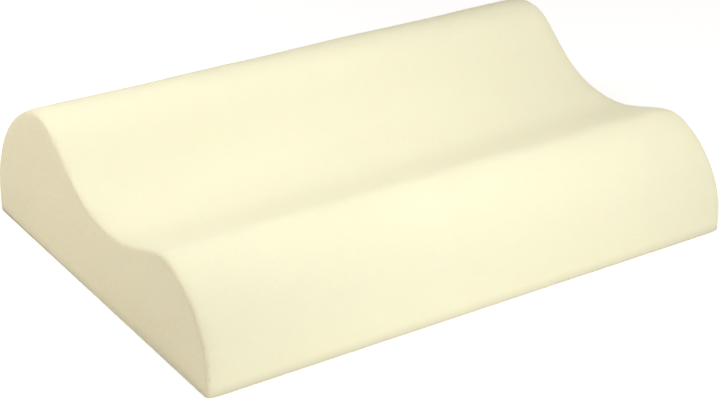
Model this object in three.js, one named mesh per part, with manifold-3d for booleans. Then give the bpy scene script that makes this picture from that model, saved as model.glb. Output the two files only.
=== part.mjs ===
// Contour bed pillow: one moulding of slow-recovery foam, bare, with no cover over it.
//
// A tall rear lobe and a low front lobe run the whole width, with a shallow valley between
// them for the head. The moulding is modelled as the three layers that it really has: the
// open-cell core, the thin closed skin that formed against the shaped half of the mould, and
// the skin that formed against the mould's flat lid, which is now the underside.
//
// Millimetres. +X runs along the pillow's width, +Y from the front lobe to the rear lobe and
// +Z up. The origin is on the underside, under the middle of the overall width and depth.

import * as THREE from 'three';
import { mergeVertices } from 'three/addons/utils/BufferGeometryUtils.js';
import Module from 'manifold-3d';

// Overall sizes, at the underside
const LENGTH = 500; // along X
const DEPTH = 335; // along Y

// Lobes and valley: height above the underside, and place along Y from a foot of the side
// outline, where a face meets the underside
const FRONT_HEIGHT = 85;
const FRONT_SETBACK = 68.5; // front crest, behind the front foot
const VALLEY_HEIGHT = 66;
const VALLEY_SETBACK = 144.5; // lowest line of the valley, behind the front foot
const REAR_HEIGHT = 115;
const REAR_SETBACK = 71.5; // rear crest, in front of the rear foot

// How much the front and rear faces flare outwards as they leave their feet, in radians
const FRONT_FLARE = THREE.MathUtils.degToRad(4);
const REAR_FLARE = THREE.MathUtils.degToRad(14);

// Fullness of the four curves of the side outline: how far each one keeps the direction that
// it starts with, and then the one that it ends with, as shares of its own rise or run
const FRONT_FACE_FULLNESS = { start: 0.68, end: 0.33 };
const FRONT_FLANK_FULLNESS = { start: 0.22, end: 0.37 };
const REAR_FLANK_FULLNESS = { start: 0.62, end: 0.34 };
const REAR_FACE_FULLNESS = { start: 0.48, end: 0.59 };

// Ends: the rounding of their edges, and how far they lean in for each millimetre of height
const END_ROUND = 6;
const END_DRAFT = 0.015;

// Skin
const SKIN = 1.5;
const CLEARANCE = 0.3; // between the two skins, and between each skin and the core

// Fineness of the curves
const OUTLINE_STEPS = 13; // along each of the side outline's four curves
const END_ROUND_STEPS = 4;

const wasm = await Module();
wasm.setup();

// A level handle of a curve, pointing towards +Y when its length is positive.
function level(length) {
  return new THREE.Vector2(length, 0);
}

// A handle that rises from a foot and leans outwards, to the side that the sign gives.
function rising(length, flare, sign) {
  return new THREE.Vector2(sign * Math.sin(flare), Math.cos(flare)).multiplyScalar(length);
}

function curve(start, startHandle, endHandle, end) {
  const near = start.clone().add(startHandle);
  const far = end.clone().add(endHandle);
  return new THREE.CubicBezierCurve(start, near, far, end);
}

// The side outline's four curves, Y across and Z up: front face, front flank, rear flank and
// rear face. They run level through both crests and through the valley.
function outlineCurves() {
  const frontFoot = new THREE.Vector2(-DEPTH / 2, 0);
  const frontCrest = new THREE.Vector2(frontFoot.x + FRONT_SETBACK, FRONT_HEIGHT);
  const valley = new THREE.Vector2(frontFoot.x + VALLEY_SETBACK, VALLEY_HEIGHT);
  const rearFoot = new THREE.Vector2(DEPTH / 2, 0);
  const rearCrest = new THREE.Vector2(rearFoot.x - REAR_SETBACK, REAR_HEIGHT);

  const frontRun = valley.x - frontCrest.x;
  const rearRun = rearCrest.x - valley.x;
  return [
    curve(
      frontFoot,
      rising(FRONT_FACE_FULLNESS.start * FRONT_HEIGHT, FRONT_FLARE, -1),
      level(-FRONT_FACE_FULLNESS.end * FRONT_SETBACK),
      frontCrest,
    ),
    curve(
      frontCrest,
      level(FRONT_FLANK_FULLNESS.start * frontRun),
      level(-FRONT_FLANK_FULLNESS.end * frontRun),
      valley,
    ),
    curve(
      valley,
      level(REAR_FLANK_FULLNESS.start * rearRun),
      level(-REAR_FLANK_FULLNESS.end * rearRun),
      rearCrest,
    ),
    curve(
      rearCrest,
      level(REAR_FACE_FULLNESS.start * REAR_SETBACK),
      rising(REAR_FACE_FULLNESS.end * REAR_HEIGHT, REAR_FLARE, 1),
      rearFoot,
    ),
  ];
}

// The side outline, lying a given inset inside the outer surface. Its two feet are carried
// down below the underside, so that the underside can be cut flat afterwards.
function sideOutline(inset) {
  const points = [];
  outlineCurves().forEach((piece, index) => {
    for (let step = index === 0 ? 0 : 1; step <= OUTLINE_STEPS; step += 1) {
      const point = piece.getPoint(step / OUTLINE_STEPS);
      const tangent = piece.getTangent(step / OUTLINE_STEPS);
      points.push(new THREE.Vector2(point.x + tangent.y * inset, point.y - tangent.x * inset));
    }
  });
  const below = -2 * END_ROUND;
  points.unshift(new THREE.Vector2(points[0].x, below));
  points.push(new THREE.Vector2(points.at(-1).x, below));
  return new THREE.Shape(points);
}

// Leans both ends in towards the top.
function taperEnds(geometry) {
  const position = geometry.attributes.position;
  for (let i = 0; i < position.count; i += 1) {
    const shrink = 1 - (2 * END_DRAFT * position.getZ(i)) / LENGTH;
    position.setX(i, position.getX(i) * shrink);
  }
}

function toSolid(geometry) {
  geometry.deleteAttribute('normal');
  geometry.deleteAttribute('uv');
  const merged = mergeVertices(geometry);
  const vertProperties = merged.attributes.position.array;
  const triVerts = new Uint32Array(merged.index.array);
  return new wasm.Manifold(new wasm.Mesh({ numProp: 3, vertProperties, triVerts }));
}

function toGeometry(solid) {
  const { vertProperties, triVerts } = solid.getMesh();
  const geometry = new THREE.BufferGeometry();
  geometry.setAttribute('position', new THREE.BufferAttribute(vertProperties, 3));
  geometry.setIndex(new THREE.BufferAttribute(triVerts, 1));
  geometry.computeVertexNormals();
  return geometry;
}

// The whole moulding, lying a given inset inside its outer surface. It runs on below the
// underside.
function moulding(inset) {
  const round = END_ROUND - inset;
  const length = LENGTH - 2 * END_ROUND;
  const geometry = new THREE.ExtrudeGeometry(sideOutline(inset), {
    depth: length,
    bevelThickness: round,
    bevelSize: round,
    bevelOffset: -round,
    bevelSegments: END_ROUND_STEPS,
  });
  geometry.translate(0, 0, -length / 2);
  const along = new THREE.Vector3(1, 0, 0);
  const across = new THREE.Vector3(0, 1, 0);
  const up = new THREE.Vector3(0, 0, 1);
  geometry.applyMatrix4(new THREE.Matrix4().makeBasis(across, up, along));
  taperEnds(geometry);
  return toSolid(geometry);
}

// A slab wider than the pillow, from one height to another.
function slab(bottom, top) {
  const geometry = new THREE.BoxGeometry(2 * LENGTH, 2 * DEPTH, top - bottom);
  geometry.translate(0, 0, (bottom + top) / 2);
  return toSolid(geometry);
}

// Above everything.
const CEILING = 2 * Math.max(FRONT_HEIGHT, REAR_HEIGHT);

// The open-cell foam inside the skins.
function foamCore() {
  const inset = SKIN + CLEARANCE;
  return moulding(inset).intersect(slab(inset, CEILING));
}

// The skin over the top, the ends and the front and rear faces. It stops where the mould's
// lid closed on it, just above the lid's own skin.
function upperSkin() {
  const layer = moulding(0).subtract(moulding(SKIN));
  return layer.intersect(slab(SKIN + CLEARANCE, CEILING));
}

// The flat skin under the whole pillow.
function baseSkin() {
  return moulding(0).intersect(slab(0, SKIN));
}

function piece(name, solid, color, roughness) {
  const material = new THREE.MeshStandardMaterial({ color, roughness, metalness: 0 });
  const mesh = new THREE.Mesh(toGeometry(solid), material);
  mesh.name = name;
  return mesh;
}

const pillow = new THREE.Group();
pillow.add(piece('foam_core', foamCore(), 0xf3e8bf, 1));
pillow.add(piece('moulded_skin_upper', upperSkin(), 0xf7f0d2, 0.85));
pillow.add(piece('moulded_skin_base', baseSkin(), 0xf1e8c6, 0.9));

// The rear face bulges further past its foot than the front face does, so the middle of the
// overall depth is not the middle of the underside. The pillow stands on the former.
const extent = new THREE.Box3().setFromObject(pillow);
pillow.position.y = -(extent.min.y + extent.max.y) / 2;

export default pillow;
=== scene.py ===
import math

import bmesh
import bpy
import numpy as np
from mathutils import Matrix, Vector


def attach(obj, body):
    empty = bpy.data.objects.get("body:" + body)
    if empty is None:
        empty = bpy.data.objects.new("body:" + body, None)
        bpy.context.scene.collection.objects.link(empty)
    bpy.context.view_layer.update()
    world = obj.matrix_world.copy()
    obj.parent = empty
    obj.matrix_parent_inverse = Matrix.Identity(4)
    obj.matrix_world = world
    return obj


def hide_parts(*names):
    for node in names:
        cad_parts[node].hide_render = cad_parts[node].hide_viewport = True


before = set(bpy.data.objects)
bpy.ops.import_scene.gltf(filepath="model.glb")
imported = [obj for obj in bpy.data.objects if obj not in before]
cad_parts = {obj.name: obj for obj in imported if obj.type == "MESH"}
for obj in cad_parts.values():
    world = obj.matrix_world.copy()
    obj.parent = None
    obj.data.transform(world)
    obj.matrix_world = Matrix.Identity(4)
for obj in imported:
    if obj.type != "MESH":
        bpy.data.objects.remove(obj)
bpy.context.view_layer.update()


# ---------------------------------------------------------------------------------------
# Upper skin. The fine, closed face of the foam moulding, where it set against the shaped
# half of the mould. It covers the top, both ends and the front and rear faces in one
# piece, and stops at the underside's edge, where the mould's lid closed.
# ---------------------------------------------------------------------------------------

LENGTH = 0.500
DEPTH = 0.335
FRONT_HEIGHT, FRONT_SETBACK = 0.085, 0.0685
VALLEY_HEIGHT, VALLEY_SETBACK = 0.066, 0.1445
REAR_HEIGHT, REAR_SETBACK = 0.115, 0.0715
FRONT_FLARE, REAR_FLARE = math.radians(4), math.radians(14)
FRONT_FACE_FULLNESS = 0.68, 0.33
FRONT_FLANK_FULLNESS = 0.22, 0.37
REAR_FLANK_FULLNESS = 0.62, 0.34
REAR_FACE_FULLNESS = 0.48, 0.59
CURVE_STEPS = 400
FOOT_RADII, FOOT_STEPS = 1.5, 12
END_REACH, END_DROP, END_FULLNESS = 0.021, 0.006, 0.86
BASE_ROUND = 0.0018
END_DRAFT = 0.015
END_MIDDLE = -0.010
SKIN = 0.0015
SKIN_PARTING = 0.00005
WIDE_SWELL, WIDE_SWELL_LENGTH = 0.00035, 0.16
SMALL_SWELL, SMALL_SWELL_LENGTH = 0.00012, 0.045
SWELL_RISE = 0.02
END_TONE_REACH = 0.25 * END_REACH
LOWER_EDGE_REACH, LOWER_EDGE_TURN, LOWER_EDGE_POWER = 0.010, 0.004, 1.4
SHARP_ANGLE = math.radians(40)


def bezier(start, near, far, end, count):
    """Points and unit tangents of the cubic curve start-near-far-end, at even parameters."""
    t = np.linspace(0, 1, count)[:, None]
    start, near, far, end = (np.array(p, float) for p in (start, near, far, end))
    points = (1 - t) ** 3 * start + 3 * (1 - t) ** 2 * t * near + 3 * (1 - t) * t**2 * far + t**3 * end
    rates = (1 - t) ** 2 * (near - start) + 2 * (1 - t) * t * (far - near) + t**2 * (end - far)
    return points, rates / np.linalg.norm(rates, axis=1)[:, None]


def side_outline(count, bottom):
    """The pillow's side outline from its front foot over both lobes to its rear foot: four
    cubic curves, level at both crests and in the valley. A count of points is spaced evenly
    along them, with finer steps close to both feet. Returns points and outward normals as (y, z),
    from a height above the underside."""
    foot, rear_foot = -DEPTH / 2, DEPTH / 2
    front = foot + FRONT_SETBACK
    valley = foot + VALLEY_SETBACK
    rear = rear_foot - REAR_SETBACK
    rise = FRONT_FACE_FULLNESS[0] * FRONT_HEIGHT
    fall = REAR_FACE_FULLNESS[1] * REAR_HEIGHT
    pieces = [
        bezier(
            (foot, 0),
            (foot - rise * math.sin(FRONT_FLARE), rise * math.cos(FRONT_FLARE)),
            (front - FRONT_FACE_FULLNESS[1] * FRONT_SETBACK, FRONT_HEIGHT),
            (front, FRONT_HEIGHT),
            CURVE_STEPS,
        ),
        bezier(
            (front, FRONT_HEIGHT),
            (front + FRONT_FLANK_FULLNESS[0] * (valley - front), FRONT_HEIGHT),
            (valley - FRONT_FLANK_FULLNESS[1] * (valley - front), VALLEY_HEIGHT),
            (valley, VALLEY_HEIGHT),
            CURVE_STEPS,
        ),
        bezier(
            (valley, VALLEY_HEIGHT),
            (valley + REAR_FLANK_FULLNESS[0] * (rear - valley), VALLEY_HEIGHT),
            (rear - REAR_FLANK_FULLNESS[1] * (rear - valley), REAR_HEIGHT),
            (rear, REAR_HEIGHT),
            CURVE_STEPS,
        ),
        bezier(
            (rear, REAR_HEIGHT),
            (rear + REAR_FACE_FULLNESS[0] * REAR_SETBACK, REAR_HEIGHT),
            (rear_foot + fall * math.sin(REAR_FLARE), fall * math.cos(REAR_FLARE)),
            (rear_foot, 0),
            CURVE_STEPS,
        ),
    ]
    points = np.vstack([p for p, _ in pieces])
    tangents = np.vstack([t for _, t in pieces])
    points[:, 0] -= (points[:, 0].min() + points[:, 0].max()) / 2
    above = points[:, 1] >= bottom
    points, tangents = points[above], tangents[above]
    run = np.r_[0, np.cumsum(np.hypot(*np.diff(points, axis=0).T))]
    near_foot = BASE_ROUND * np.linspace(0, FOOT_RADII, FOOT_STEPS + 1)[:-1]
    fine = FOOT_RADII * BASE_ROUND
    middle = np.linspace(fine, run[-1] - fine, count)
    even = np.r_[near_foot, middle, run[-1] - near_foot[::-1]]
    points = np.stack([np.interp(even, run, points[:, k]) for k in (0, 1)], axis=1)
    tangents = np.stack([np.interp(even, run, tangents[:, k]) for k in (0, 1)], axis=1)
    tangents /= np.linalg.norm(tangents, axis=1)[:, None]
    points[[0, -1], 1] = bottom
    return points, np.stack([-tangents[:, 1], tangents[:, 0]], axis=1)


def soft_edge(reach, drop, count):
    """The soft edge of an end, as (in from the end, in from the side): a cubic curve between
    the end's plane and the side's, with long tails."""
    tail = 1 - END_FULLNESS
    return bezier((0, drop), (0, drop * tail), (reach * tail, 0), (reach, 0), count)[0]


def stations(inset, along, around, across, crowding=0.8):
    """Stations from one end's middle to the other's, as (x, how far the outline is drawn in,
    how much of it is left). The end face grows out of its middle, in steps that crowd a
    little towards its edge, then comes the soft edge, and the stretch between both soft edges
    is straight."""
    half = LENGTH / 2 - inset
    reach, drop = END_REACH - inset, END_DROP - inset
    face = np.linspace(0, 1, across, endpoint=False) ** crowding
    edge = soft_edge(reach, drop, around)
    straight = np.linspace(-1, 1, along)[1:-1] * (half - reach)
    x = np.r_[np.full(across, -half), edge[:, 0] - half, straight]
    drawn = np.r_[np.full(across, drop), edge[:, 1], np.zeros(len(straight))]
    left = np.r_[face, np.ones(around + len(straight))]
    ends = across + around
    return (
        np.r_[x, -x[:ends][::-1]],
        np.r_[drawn, drawn[:ends][::-1]] + inset,
        np.r_[left, left[:ends][::-1]],
    )


def rounded_under(points):
    """Points drawn in towards the middle near the underside, as a quarter circle does it: by
    its radius at the underside, and by nothing at one radius above it."""
    below = np.clip(1 - points[..., 2] / BASE_ROUND, 0, 1)
    drawn_in = BASE_ROUND * (1 - np.sqrt(1 - below**2))
    kept = 1 - drawn_in[..., None] / np.array([LENGTH / 2, DEPTH / 2])
    return np.concatenate([points[..., :2] * kept, points[..., 2:]], axis=-1)


def moulded_surface(outline, normals, middle, stations_of):
    """Grid of points and normals [station, outline, xyz]: the side outline carried along X,
    drawn in round both ends, and shrunk onto a middle point on each end face. The ends lean
    in with height, as the mould's draft makes them."""
    x, drawn, left = stations_of
    section = outline[None] - drawn[:, None, None] * normals[None]
    section[:, :, 1] = np.maximum(section[:, :, 1], outline[:, 1].min())
    section = middle + left[:, None, None] * (section - middle)
    along = x[:, None] * (1 - 2 * END_DRAFT * section[:, :, 1] / LENGTH)
    return rounded_under(np.concatenate([along[:, :, None], section], axis=2))


def grid_normals(grid):
    """Unit normals of a grid of points, from the cross product of its two directions."""
    normals = np.cross(np.gradient(grid, axis=0), np.gradient(grid, axis=1))
    size = np.linalg.norm(normals, axis=2, keepdims=True)
    return normals / np.maximum(size, 1e-12)


def unevenness(points, wavelength, seed, waves=14, tallest=5):
    """Smooth random height, about -1 to 1, at points of space: a sum of sine waves of random
    heading and phase, all near one wavelength."""
    draw = np.random.default_rng(seed)
    total = np.zeros(points.shape[:-1])
    for _ in range(waves):
        heading = draw.normal(size=3)
        heading *= 2 * math.pi / (wavelength * draw.uniform(0.7, 1.5) * np.linalg.norm(heading))
        total += np.sin(points @ heading + draw.uniform(0, 2 * math.pi))
    return total / tallest


def near_lower_edge(points):
    """1 along the underside's edge, falling to 0 over its reach, by a power of the distance: the
    height, plus how far in from the sides past the turn of the edge. It places the painted shade near
    the base."""
    inward = np.minimum(LENGTH / 2 - np.abs(points[..., 0]), DEPTH / 2 - np.abs(points[..., 1]))
    away = points[..., 2] + np.maximum(inward - LOWER_EDGE_TURN, 0)
    return np.clip(1 - away / LOWER_EDGE_REACH, 0, 1) ** LOWER_EDGE_POWER


def grid_mesh(name, grid, attributes=(), closed=False):
    """A piece from a grid of points: four-sided faces between neighbours, points that fall
    together joined, and smooth shading up to sharp edges. closed joins the last outline point
    to the first."""
    rows, columns = grid.shape[:2]
    index = np.arange(rows * columns).reshape(rows, columns)
    if closed:
        index = np.concatenate([index, index[:, :1]], axis=1)
    quads = np.stack([index[:-1, :-1], index[1:, :-1], index[1:, 1:], index[:-1, 1:]], axis=2)
    mesh = bpy.data.meshes.new(name)
    mesh.from_pydata(grid.reshape(-1, 3).tolist(), [], quads.reshape(-1, 4).tolist())
    for label, values in attributes:
        layer = mesh.attributes.new(label, "FLOAT", "POINT")
        layer.data.foreach_set("value", values.ravel().astype(np.float32))
    work = bmesh.new()
    work.from_mesh(mesh)
    bmesh.ops.remove_doubles(work, verts=work.verts, dist=1e-6)
    work.to_mesh(mesh)
    work.free()
    mesh.shade_smooth()
    mesh.set_sharp_from_angle(angle=SHARP_ANGLE)
    piece = bpy.data.objects.new(name, mesh)
    bpy.context.collection.objects.link(piece)
    return piece


upper_bottom = SKIN + SKIN_PARTING
upper_outline, upper_normals = side_outline(count=165, bottom=upper_bottom)
upper_middle = np.array([END_MIDDLE, upper_bottom])
upper_counts = {"along": 130, "around": 24, "across": 36}
outer = stations(0.0, **upper_counts)
inner = stations(SKIN, **upper_counts)
upper = moulded_surface(upper_outline, upper_normals, upper_middle, outer)
upper_inside = moulded_surface(upper_outline, upper_normals, upper_middle, inner)

# The foam settles a little unevenly. The swell fades out towards the lower edge, and the wall
# runs over the outside, then back along the inside.
above_rim = np.clip((upper[:, :, 2] - upper_bottom) / SWELL_RISE, 0, 1)
swell = WIDE_SWELL * unevenness(upper, WIDE_SWELL_LENGTH, 1)
swell = swell + SMALL_SWELL * unevenness(upper, SMALL_SWELL_LENGTH, 2)
swell = (swell * above_rim)[:, :, None] * grid_normals(upper)
upper_wall = np.concatenate([upper + swell, (upper_inside + swell)[:, ::-1]], axis=1)

# How near each point is to an end face, where the foam is coarser and open, and where a warm painted
# shade is laid on its colour
from_end = LENGTH / 2 - np.abs(upper_wall[:, :, 0]) - END_DRAFT * upper_wall[:, :, 2]
end_face = np.clip(1 - from_end / END_TONE_REACH, 0, 1)
# lower_edge carries the painted shade near the base into the material.
labels = [("end_face", end_face), ("lower_edge", near_lower_edge(upper_wall))]
upper_skin = grid_mesh("upper_skin", upper_wall, labels, closed=True)


class Wire:
    """A shader socket that can be written in sums: + - * / make Math nodes, and node() makes
    any other node, from its type, its settings and what its inputs take."""

    def __init__(self, tree, socket):
        self.tree = tree
        self.socket = socket

    def node(self, kind, settings=None, inputs=None, output=0):
        made = self.tree.nodes.new(kind)
        for key, value in (settings or {}).items():
            setattr(made, key, value)
        for key, value in (inputs or {}).items():
            if isinstance(value, Wire):
                self.tree.links.new(value.socket, made.inputs[key])
            else:
                made.inputs[key].default_value = value
        return Wire(self.tree, made.outputs[output])

    def maths(self, operation, first, second, clamp=False):
        settings = {"operation": operation, "use_clamp": clamp}
        return self.node("ShaderNodeMath", settings, {0: first, 1: second})

    def __add__(self, other):
        return self.maths("ADD", self, other)

    def __radd__(self, other):
        return self.maths("ADD", other, self)

    def __sub__(self, other):
        return self.maths("SUBTRACT", self, other)

    def __rsub__(self, other):
        return self.maths("SUBTRACT", other, self)

    def __mul__(self, other):
        return self.maths("MULTIPLY", self, other)

    def __rmul__(self, other):
        return self.maths("MULTIPLY", other, self)

    def __truediv__(self, other):
        return self.maths("DIVIDE", self, other)

    def __rtruediv__(self, other):
        return self.maths("DIVIDE", other, self)

    def below(self, edge, width):
        """1 where this is at least the width below the edge, falling to 0 at the edge."""
        return self.maths("MULTIPLY", edge - self, 1 / width, clamp=True)

    def mixed(self, first, second):
        """The first colour where this is 0, and the second where it is 1."""
        inputs = {"Factor": self, 6: first, 7: second}
        return self.node("ShaderNodeMix", {"data_type": "RGBA"}, inputs, 2)


def new_material(name):
    """An empty material, its principled shader, and the object coordinates to draw it with."""
    material = bpy.data.materials.new(name)
    material.use_nodes = True
    tree = material.node_tree
    tree.nodes.clear()
    shader = tree.nodes.new("ShaderNodeBsdfPrincipled")
    output = tree.nodes.new("ShaderNodeOutputMaterial")
    tree.links.new(shader.outputs[0], output.inputs[0])
    place = tree.nodes.new("ShaderNodeTexCoord")
    return material, shader, Wire(tree, place.outputs["Object"])


def plug(shader, **sockets):
    """Sets a shader's sockets, named with _ for a space, to values or wires."""
    for name, value in sockets.items():
        socket = shader.inputs[name.replace("_", " ")]
        if isinstance(value, Wire):
            value.tree.links.new(value.socket, socket)
        else:
            socket.default_value = value


FOAM_IVORY = (0.800, 0.764, 0.546, 1)
FOAM_IVORY_DEEP = (0.772, 0.728, 0.507, 1)
FOAM_END_WARM_SHADE = (0.800, 0.600, 0.360, 1)
FOAM_BASE_SHADE = (0.610, 0.560, 0.410, 1)
FOAM_HOLLOW_SHADE = (0.60, 0.50, 0.30, 1)


def noise(place, scale, detail=2.0, roughness=0.5):
    """Even cloudy variation, about 0.3 to 0.7, with a given number of clouds to the metre."""
    inputs = {"Vector": place, "Scale": scale, "Detail": detail, "Roughness": roughness}
    return place.node("ShaderNodeTexNoise", {}, inputs)


def marked(place, attribute):
    """What the mesh says about a place, from one of its attributes."""
    return place.node("ShaderNodeAttribute", {"attribute_name": attribute}, output=2)


def foam_skin(name, grain_depth, pit_share):
    """Matte ivory foam skin: a fine even grain, small pores, faint mottling, and sparse pinholes where
    bubbles broke against the mould; pores and pinholes are drawn darker, as painted shade in the
    hollows. The ends are coarser, and their colour carries a warm painted shade; the lower edge is
    darker, as painted shade near the underside."""
    material, shader, place = new_material(name)
    end = marked(place, "end_face")
    edge = marked(place, "lower_edge")
    grain = noise(place, 900.0, 3.0, 0.6)
    cells = noise(place, 2600.0, 2.0)
    clumps = noise(place, 360.0, 2.0, 0.6)
    pore_distance = place.node("ShaderNodeTexVoronoi", {}, {"Vector": place, "Scale": 640.0})
    pores = pore_distance.below(0.26 + 0.14 * end, 0.16)
    mottle = noise(place, 14.0, 3.0)
    spread = {"Vector": place, "Scale": 38.0}
    pit_distance = place.node("ShaderNodeTexVoronoi", {}, spread)
    pit_size = place.node("ShaderNodeTexVoronoi", {}, spread, 1)
    pit_size = place.node("ShaderNodeSeparateColor", {}, {0: pit_size})
    pits = pit_distance.below(0.034 * (pit_size - (1 - pit_share)) / pit_share, 0.012)

    # Random tone from mottling, grain and clumps; the pores add a little painted shade in their
    # hollows.
    tone = (mottle - 0.5) * 0.7 + (grain - 0.5) * (0.5 + 0.9 * end)
    tone = tone + (clumps - 0.5) * (0.5 + 2.6 * end) + pores * (0.25 + 0.35 * end) - 0.25 * end + 0.30
    colour = tone.mixed(FOAM_IVORY, FOAM_IVORY_DEEP)
    # The end faces' colour is pulled warmer and darker: painted warm shade on the ends.
    colour = (end * 0.26).mixed(colour, FOAM_END_WARM_SHADE)
    # Darker towards the underside's edge, on both skins: painted shade near the base.
    colour = (edge * 0.9).mixed(colour, FOAM_BASE_SHADE)
    # Pinholes darkened: painted shade inside them.
    colour = (pits * 0.55).mixed(colour, FOAM_HOLLOW_SHADE)
    height = (grain * 0.7 + cells * 0.3) * (0.9 + 0.9 * end) + clumps * (0.4 + 1.9 * end)
    height = height - pores * (0.35 + 0.35 * end) - pits * 1.6
    relief = {"Strength": grain_depth, "Distance": 0.0008, "Height": height}
    bump = place.node("ShaderNodeBump", {}, relief)
    plug(
        shader,
        Base_Color=colour,
        Roughness=0.80 + (grain - 0.5) * 0.2,
        Specular_IOR_Level=0.25,
        Subsurface_Weight=0.15,
        Subsurface_Radius=(0.010, 0.007, 0.004),
        Subsurface_Scale=1.0,
        Normal=bump,
    )
    return material


upper_skin.data.materials.append(foam_skin("moulded_foam_skin", 0.5, 0.3))
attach(upper_skin, "root")
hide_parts("moulded_skin_upper")


# ---------------------------------------------------------------------------------------
# Base skin. The flat foam skin that set against the mould's lid, and on which the pillow
# stands. It is one sheet, rounded off along its edge, where the flash was trimmed away.
# ---------------------------------------------------------------------------------------

def base_outline(count):
    """Closed outline of the underside, evenly spaced, as (x, y): a rectangle whose corners are
    the same soft curve as the edges of the ends."""
    corner = np.array([LENGTH / 2, DEPTH / 2]) - soft_edge(END_REACH, END_DROP, count=40)
    turned = [corner, corner[::-1] * (-1, 1), -corner, corner[::-1] * (1, -1)]
    path = np.vstack(turned + [corner[:1]])
    run = np.r_[0, np.cumsum(np.hypot(*np.diff(path, axis=0).T))]
    even = np.linspace(0, run[-1], count, endpoint=False)
    return np.stack([np.interp(even, run, path[:, k]) for k in (0, 1)], axis=1)


def flat_skin(path, thickness, rings=60, edge_rings=8):
    """Grid [ring, outline, xyz] of a thin sheet: rings run from the middle of its upper face
    out to its edge, down the edge, and back under to the middle."""
    out = np.linspace(0, 1, rings)
    turn = np.linspace(1 - thickness / BASE_ROUND, 1, edge_rings + 1)
    level = np.r_[np.full(rings, thickness), BASE_ROUND * (1 - turn[1:]), np.zeros(rings - 1)]
    out = np.r_[out, np.ones(edge_rings), out[:-1][::-1]]
    flat = out[:, None, None] * path[None]
    sheet = np.concatenate([flat, np.broadcast_to(level[:, None, None], flat.shape[:2] + (1,))], axis=2)
    return rounded_under(sheet)


base_path = base_outline(count=640)
base_path[:, 1] += upper_outline[0, 0] + DEPTH / 2
base = flat_skin(base_path, SKIN)
# The lower_edge attribute gives this skin the same painted shade near the base.
base_skin = grid_mesh("base_skin", base, [("lower_edge", near_lower_edge(base))], closed=True)
base_skin.data.materials.append(foam_skin("lid_foam_skin", 0.7, 0.45))
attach(base_skin, "root")
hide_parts("moulded_skin_base")


# ---------------------------------------------------------------------------------------
# Foam core. The open-cell, slow-recovery foam that fills the skins. It is poured as a liquid,
# swells until it fills the mould, and sets in one piece with both skins, so it is hidden
# until the pillow is cut.
# ---------------------------------------------------------------------------------------

CLEARANCE = 0.0003
CORE_INSET = SKIN + CLEARANCE
CORE_MIDDLE_HEIGHT = 0.035
UNDERSIDE_STEPS = 60

core_outline, core_normals = side_outline(count=120, bottom=CORE_INSET)
underside = np.linspace(core_outline[-1], core_outline[0], UNDERSIDE_STEPS)[1:-1]
core_outline = np.vstack([core_outline, underside])
core_normals = np.vstack([core_normals, np.zeros_like(underside)])
core_middle = np.array([END_MIDDLE, CORE_MIDDLE_HEIGHT])
core_stations = stations(CORE_INSET, along=60, around=6, across=20)
core = moulded_surface(core_outline, core_normals, core_middle, core_stations)
foam_core = grid_mesh("core", core, closed=True)


def open_cell_foam(name):
    """Porous ivory foam: round open cells, darker inside than on their rims, as painted shade in the
    hollows.
    """
    material, shader, place = new_material(name)
    cells = place.node("ShaderNodeTexVoronoi", {}, {"Vector": place, "Scale": 900.0})
    shade = noise(place, 40.0, 3.0)
    open_part = cells.below(0.5, 0.4)
    # Cell insides darkened: painted shade in the hollows.
    colour = (open_part * 0.5 + (shade - 0.5) * 0.4).mixed(FOAM_IVORY, FOAM_HOLLOW_SHADE)
    bump = place.node("ShaderNodeBump", {}, {"Strength": 0.8, "Distance": 0.0008, "Height": cells})
    plug(
        shader,
        Base_Color=colour,
        Roughness=0.9 + (shade - 0.5) * 0.1,
        Specular_IOR_Level=0.2,
        Normal=bump,
    )
    return material


foam_core.data.materials.append(open_cell_foam("open_cell_foam"))
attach(foam_core, "root")
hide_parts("foam_core")


# ---------------------------------------------------------------------------------------
# Studio: white paper that glows faintly, more so further out, and shows only from above; a
# wide key lamp high in front, three small lamps close by, a weak one at the front left, a
# dim warm sky, and the camera.
# ---------------------------------------------------------------------------------------

PAPER_HALF = 9
PAPER_BELOW = 0.0002
GLOW_NEAR, GLOW_FAR = (0.37, 0.37, 0.37, 1), (0.58, 0.58, 0.58, 1)
GLOW_TURN, GLOW_TURN_WIDTH = 0.8, 0.4
SKY, SKY_STRENGTH = (1.0, 0.93, 0.86, 1), 0.224

corners = np.array([(-1, -1), (1, -1), (1, 1), (-1, 1)]) * PAPER_HALF
floor_mesh = bpy.data.meshes.new("floor")
floor_mesh.from_pydata([(x, y, -PAPER_BELOW) for x, y in corners.tolist()], [], [(0, 1, 2, 3)])
floor = bpy.data.objects.new("floor", floor_mesh)
bpy.context.collection.objects.link(floor)
paper, paper_shader, paper_place = new_material("white_paper")
seen_from_below = paper_place.node("ShaderNodeNewGeometry", output=6)
from_middle = paper_place.node("ShaderNodeVectorMath", {"operation": "LENGTH"}, {0: paper_place}, 1)
plug(
    paper_shader,
    Base_Color=(0.92, 0.92, 0.92, 1),
    Roughness=0.9,
    Specular_IOR_Level=0.1,
    Alpha=1 - seen_from_below,
    Emission_Color=from_middle.below(GLOW_TURN, GLOW_TURN_WIDTH).mixed(GLOW_FAR, GLOW_NEAR),
    Emission_Strength=1.0,
)
floor_mesh.materials.append(paper)

world = bpy.data.worlds.new("studio")
world.use_nodes = True
world.node_tree.nodes["Background"].inputs[0].default_value = SKY
world.node_tree.nodes["Background"].inputs[1].default_value = SKY_STRENGTH
bpy.context.scene.world = world


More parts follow.
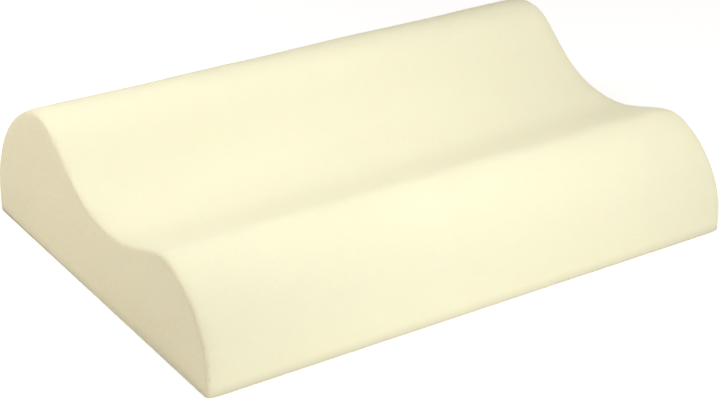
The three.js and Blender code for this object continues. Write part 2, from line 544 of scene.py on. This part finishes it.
def soft_light(name, place, target, width, power):
    """A square white area light of a given width, aimed at a target."""
    lamp = bpy.data.lights.new(name, "AREA")
    lamp.shape = "SQUARE"
    lamp.size = width
    lamp.energy = power
    holder = bpy.data.objects.new(name, lamp)
    bpy.context.collection.objects.link(holder)
    aim = Vector(target) - Vector(place)
    holder.location = place
    holder.rotation_euler = aim.to_track_quat("-Z", "Y").to_euler()
    holder.visible_camera = False


soft_light("key", (1.00, -2.55, 2.98), (0, 0, 0.05), 2.4, 22.2)
soft_light("overhead", (0.145, -0.245, 0.66), (-0.10, 0, 0.05), 0.4, 2.20)
soft_light("front", (-0.05, -0.594, 0.42), (-0.05, 0, 0.05), 0.4, 1.38)
soft_light("left_rear", (-0.454, 0.212, 0.616), (-0.10, 0, 0.05), 0.4, 2.82)
soft_light("left_front", (-1.20, -1.20, 0.60), (0, 0, 0.05), 1.2, 0.35)

CAMERA_AZIMUTH = math.radians(-36.15)
CAMERA_ELEVATION = math.radians(27.62)
CAMERA_ROLL = math.radians(2.85)
CAMERA_DISTANCE = 1.630
CAMERA_AIM = np.array([-0.0032, upper_outline[0, 0] + DEPTH / 2, 0.0195])
SENSOR_WIDTH, LENS_LENGTH = 36, 98.23

back = np.array(
    [
        math.sin(CAMERA_AZIMUTH) * math.cos(CAMERA_ELEVATION),
        -math.cos(CAMERA_AZIMUTH) * math.cos(CAMERA_ELEVATION),
        math.sin(CAMERA_ELEVATION),
    ]
)
level_right = np.array([math.cos(CAMERA_AZIMUTH), math.sin(CAMERA_AZIMUTH), 0])
level_up = np.cross(back, level_right)
right = level_right * math.cos(CAMERA_ROLL) + level_up * math.sin(CAMERA_ROLL)
up = level_up * math.cos(CAMERA_ROLL) - level_right * math.sin(CAMERA_ROLL)
lens = bpy.data.cameras.new("camera")
lens.sensor_width = SENSOR_WIDTH
lens.lens = LENS_LENGTH
camera = bpy.data.objects.new("camera", lens)
bpy.context.collection.objects.link(camera)
pose = np.eye(4)
pose[:3, 0], pose[:3, 1], pose[:3, 2] = right, up, back
pose[:3, 3] = CAMERA_AIM + CAMERA_DISTANCE * back
camera.matrix_world = Matrix(pose.tolist())
bpy.context.scene.camera = camera
bpy.context.scene.view_settings.view_transform = "Standard"
bpy.context.scene.view_settings.look = "None"
